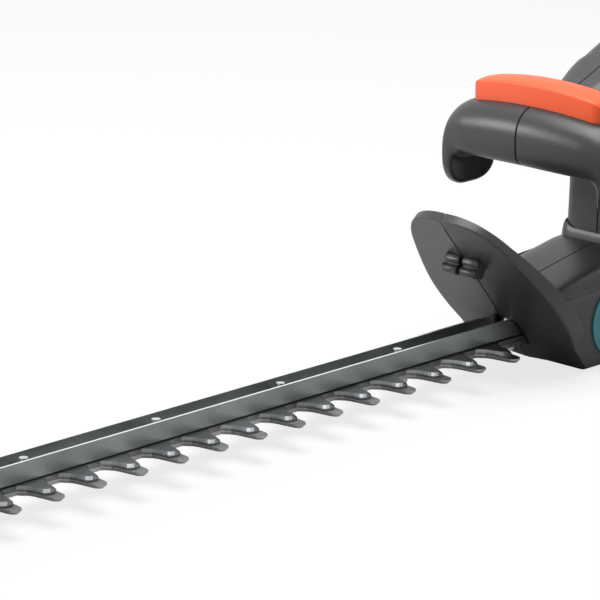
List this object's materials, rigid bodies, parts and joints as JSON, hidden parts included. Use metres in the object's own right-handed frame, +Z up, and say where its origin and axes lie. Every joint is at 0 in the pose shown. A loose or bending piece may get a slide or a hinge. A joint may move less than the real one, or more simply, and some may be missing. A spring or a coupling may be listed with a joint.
{
  "type": "hedge trimmer",
  "caption": "Cordless hedge trimmer with a long double-sided blade, hand guard, crossbar front handle with switch bar, rear trigger grip and slide-out battery.",
  "frame": {"origin": "on the resting plane under the drive gear's axis", "axes": "+X forward along the blade, +Y to the tool's left, +Z up"},
  "size_m": [0.9149, 0.14, 0.191],
  "materials": {
    "casing_plastic": "satin anthracite",
    "black_plastic": "matte black",
    "orange_plastic": "satin orange",
    "teal_plastic": "satin teal",
    "blade_steel": "ground steel",
    "rail_steel": "satin rolled steel",
    "zinc_steel": "zinc plated",
    "gear_steel": "machined",
    "cast_aluminium": "die cast",
    "magnet_ferrite": "dull",
    "motor_iron": "lacquered windings",
    "board_laminate": "laminate",
    "cell_metal": "shrink sleeve"
  },
  "bodies": {
    "base": {"blade_bolts": "zinc_steel", "bolt_sleeves": "zinc_steel", "bolt_washers": "zinc_steel", "control_board": "board_laminate", "front_bar_springs": "zinc_steel", "front_handle_left": "casing_plastic", "front_handle_right": "casing_plastic", "front_handle_screws": "zinc_steel", "front_switch": "black_plastic", "gearbox_cover": "cast_aluminium", "gearbox_plate": "cast_aluminium", "gearbox_posts": "zinc_steel", "gearbox_screws": "zinc_steel", "guide_rail": "rail_steel", "lower_bearing": "gear_steel", "lower_housing_left": "casing_plastic", "lower_housing_right": "casing_plastic", "lower_housing_screws": "zinc_steel", "motor_brushes": "magnet_ferrite", "motor_can": "zinc_steel", "motor_end_cap": "black_plastic", "motor_magnets": "magnet_ferrite", "rail_nuts": "zinc_steel", "rear_switch": "black_plastic", "side_disc_left": "teal_plastic", "side_disc_right": "teal_plastic", "terminal_block": "black_plastic", "tip_guard": "black_plastic", "trigger_pin": "zinc_steel", "trigger_spring": "zinc_steel", "upper_bearing": "gear_steel", "upper_housing_left": "casing_plastic", "upper_housing_right": "casing_plastic", "upper_housing_screws": "zinc_steel"},
    "crank": {"drive_gear": "gear_steel", "crank_shaft": "gear_steel", "lower_eccentric": "gear_steel", "upper_eccentric": "gear_steel", "shaft_clip": "zinc_steel"},
    "upper_blade": {"upper_blade": "blade_steel"},
    "lower_blade": {"lower_blade": "blade_steel"},
    "armature": {"motor_armature": "motor_iron", "motor_pinion": "gear_steel", "motor_fan": "black_plastic"},
    "switch_bar": {"front_switch_bar": "orange_plastic"},
    "trigger": {"trigger": "orange_plastic"},
    "battery": {"battery_case": "black_plastic", "battery_cells": "cell_metal", "battery_cell_holder": "board_laminate"},
    "battery_button": {"battery_button": "orange_plastic"}
  },
  "joints": [
    {"name": "drive_gear", "type": "hinge", "parent": "base", "child": "crank", "pos_m": [0, 0, 0.028], "axis": [0, 0, 1], "range_deg": [-90, 90]},
    {"name": "upper_blade", "type": "slide", "parent": "base", "child": "upper_blade", "axis": [1, 0, 0], "range_m": [-0.0075, 0.0075]},
    {"name": "lower_blade", "type": "slide", "parent": "base", "child": "lower_blade", "axis": [1, 0, 0], "range_m": [-0.0075, 0.0075]},
    {"name": "motor_shaft", "type": "hinge", "parent": "base", "child": "armature", "pos_m": [-0.046, 0, 0.06], "axis": [0, 0, 1], "range_deg": [-430, 430]},
    {"name": "front_switch_bar", "type": "slide", "parent": "base", "child": "switch_bar", "axis": [0, 0, -1], "range_m": [0, 0.004], "stiffness_N_per_m": 900, "springref_m": -0.003, "deforming": ["front_bar_springs"]},
    {"name": "trigger", "type": "hinge", "parent": "base", "child": "trigger", "pos_m": [-0.122, 0, 0.16], "axis": [0, 1, 0], "range_deg": [0, 10], "stiffness_Nm_per_rad": 0.5, "springref_deg": -17.19},
    {"name": "battery", "type": "slide", "parent": "base", "child": "battery", "axis": [-1, 0, 0], "range_m": [0, 0.1]},
    {"name": "battery_button", "type": "slide", "parent": "battery", "child": "battery_button", "axis": [1, 0, 0], "range_m": [0, 0.003], "stiffness_N_per_m": 400, "springref_m": -0.004}
  ],
  "couplings": [
    {"joint": "upper_blade", "follows": "drive_gear", "m_per_rad": -0.00477},
    {"joint": "lower_blade", "follows": "drive_gear", "m_per_rad": 0.00477},
    {"joint": "motor_shaft", "follows": "drive_gear", "ratio": -4.75}
  ]
}
